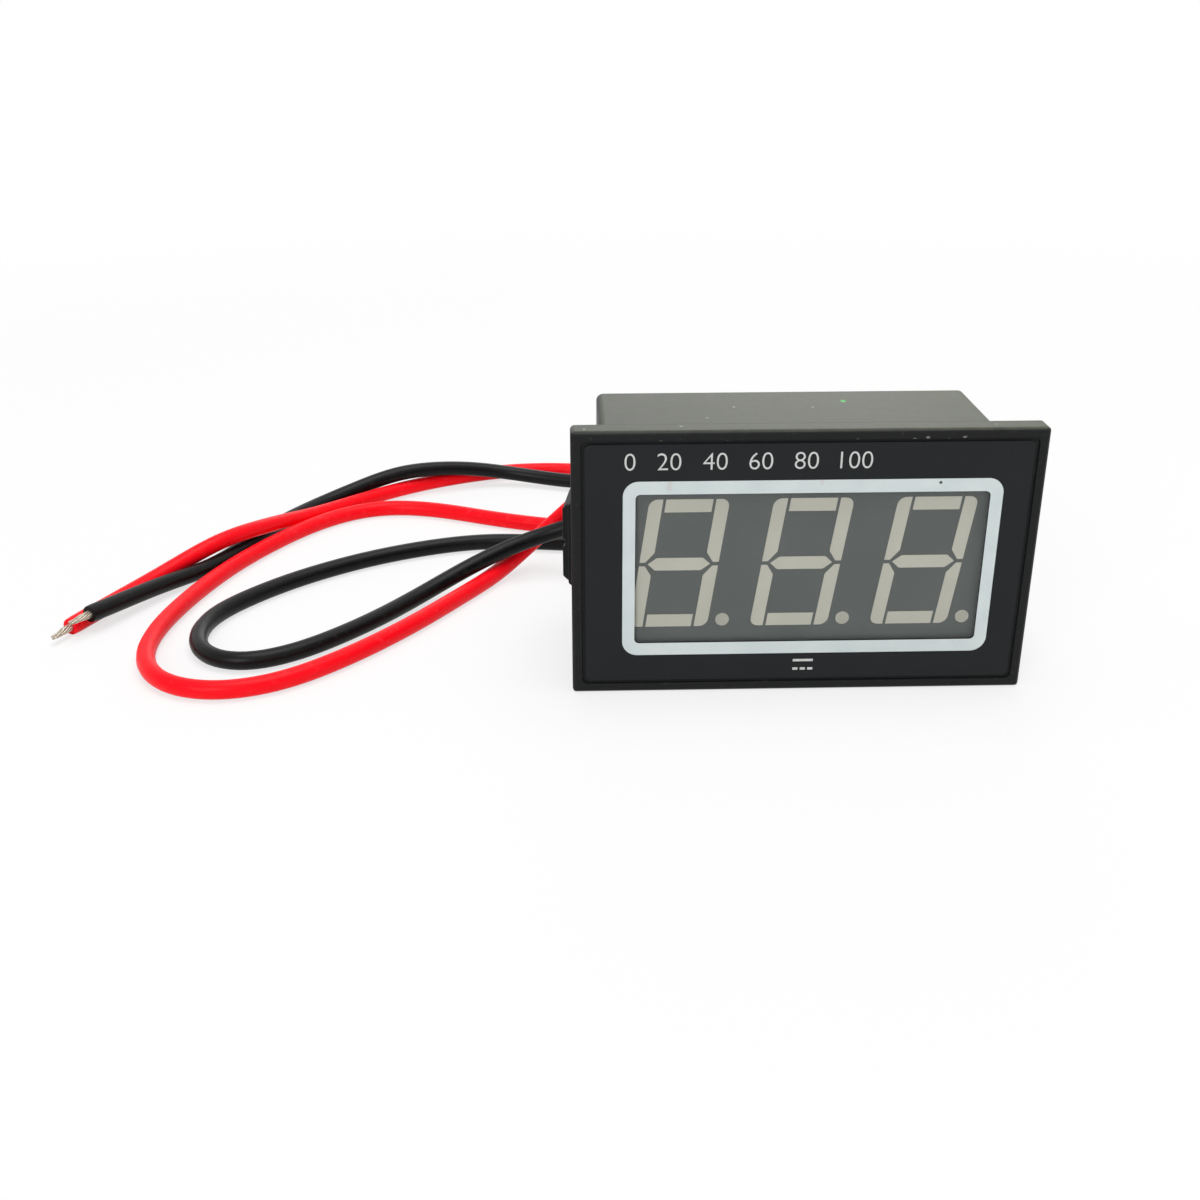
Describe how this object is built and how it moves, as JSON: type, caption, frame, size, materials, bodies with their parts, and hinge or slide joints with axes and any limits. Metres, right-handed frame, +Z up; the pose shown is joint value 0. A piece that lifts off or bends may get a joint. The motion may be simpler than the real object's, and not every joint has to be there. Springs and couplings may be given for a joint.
{
  "type": "digital panel meter",
  "caption": "Snap-in panel voltmeter: LED digit display behind a framed window in a black bezel, open-backed case with clips, board inside, red and black leads with bare tinned ends.",
  "frame": {"origin": "middle of the meter seen from above, at the bottom edge of the bezel (leads left out)", "axes": "+X to the right seen from the front, +Y back into the panel, +Z up"},
  "size_m": [0.1088, 0.0736, 0.029],
  "materials": {
    "case_plastic": "fine matt",
    "front_film": "satin print",
    "ring_print": "satin print",
    "filter": "clear smoke",
    "display_shell": "matt",
    "segment": "milky diffuser",
    "substrate": "epoxy potting",
    "tin": "bright tin plate",
    "solder": "shiny solder",
    "board": "green solder mask",
    "chip": "moulded epoxy",
    "can": "bright can",
    "capacitor_base": "matt",
    "ceramic_black": "glazed",
    "ceramic_tan": "ceramic",
    "red_insulation": "satin",
    "black_insulation": "satin",
    "strands": "dull tinned copper"
  },
  "bodies": {
    "root": {"case": "case_plastic", "front_film": "front_film", "window_ring": "ring_print", "display_filter": "filter", "display_shell": "display_shell", "display_substrate": "substrate", "digit_1_segments": "segment", "digit_2_segments": "segment", "digit_3_segments": "segment", "display_pins": "tin", "pin_solder": "solder", "circuit_board": "board", "controller_chip": "chip", "chip_leads": "tin", "regulator": "chip", "regulator_leads": "tin", "diode": "chip", "diode_leads": "tin", "capacitor_base": "capacitor_base", "capacitor_can": "can", "capacitor_tabs": "tin", "chip_resistors": "ceramic_black", "chip_capacitors": "ceramic_tan", "chip_terminals": "tin", "wire_joints": "solder", "red_wire": "red_insulation", "black_wire": "black_insulation", "red_tip": "strands", "black_tip": "strands"}
  },
  "joints": []
}
